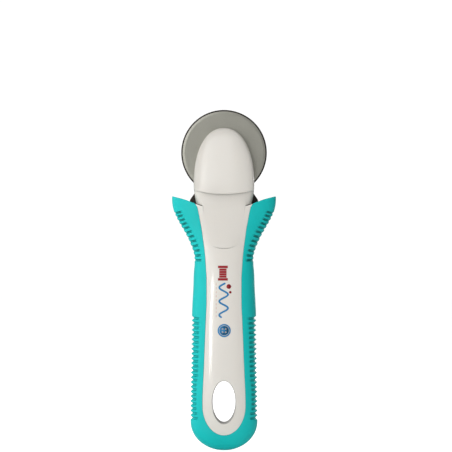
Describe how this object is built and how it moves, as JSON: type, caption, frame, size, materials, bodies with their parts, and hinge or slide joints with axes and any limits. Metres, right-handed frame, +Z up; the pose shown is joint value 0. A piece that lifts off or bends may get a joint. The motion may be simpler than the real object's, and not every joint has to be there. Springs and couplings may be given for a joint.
{
  "type": "rotary cutter",
  "caption": "Hand-held rotary cutter for cloth and paper: a round blade on a stud at the top of a flared two-tone handle, with a sliding blade guard and a clamp knob behind.",
  "frame": {"origin": "lowest point of the handle, on its mid plane; the blade's axis is 161.7 mm above it", "axes": "+Z up the handle towards the blade, +Y out of the back (the side with the clamp knob and the thumb pad), -Y out of the front (the side with the thumb rest), +X to the right seen from the front"},
  "size_m": [0.0564, 0.02, 0.185],
  "materials": {
    "white_plastic": "smooth warm white moulded plastic, satin gloss",
    "teal_soft_grip": "matt turquoise thermoplastic elastomer with grooved edges",
    "teal_plastic": "satin turquoise moulded plastic",
    "black_plastic": "fine-textured black moulded plastic",
    "blade_steel": "ground tool steel with a polished bevel",
    "zinc_steel": "zinc-plated steel",
    "brass": "turned brass",
    "natural_pom": "natural white acetal"
  },
  "bodies": {
    "handle": {"front_shell": "white_plastic", "rear_shell": "white_plastic", "front_grip": "teal_soft_grip", "rear_grip": "teal_soft_grip", "blade_arm": "white_plastic", "head_cover": "white_plastic", "pivot_stud": "zinc_steel", "blade_washer": "natural_pom", "detent_spring": "zinc_steel", "detent_screw": "zinc_steel", "screw_upper_right": "zinc_steel", "screw_upper_left": "zinc_steel", "screw_lower": "zinc_steel"},
    "blade_disc": {"blade": "blade_steel"},
    "guard": {"blade_guard": "black_plastic", "thumb_pad": "teal_plastic"},
    "washers": {"flat_washer": "zinc_steel", "wave_washer": "zinc_steel"},
    "clamp_knob": {"knob": "teal_plastic", "knob_insert": "brass"}
  },
  "joints": [
    {"name": "blade_spin", "type": "hinge", "parent": "handle", "child": "blade_disc", "pos_m": [0, 0, 0.1617], "axis": [0, 1, 0], "continuous": true},
    {"name": "guard_slide", "type": "slide", "parent": "handle", "child": "guard", "axis": [0, 0, -1], "range_m": [0, 0.009], "deforming": ["detent_spring"]},
    {"name": "nut_lift", "type": "slide", "parent": "handle", "child": "washers", "axis": [0, 1, 0], "range_m": [0, 0.0032]},
    {"name": "nut_turn", "type": "hinge", "parent": "washers", "child": "clamp_knob", "pos_m": [0, 0, 0.1617], "axis": [0, 1, 0], "range_deg": [0, 1440]}
  ],
  "couplings": [
    {"joint": "nut_lift", "follows": "nut_turn", "m_per_rad": 0.00012732}
  ]
}
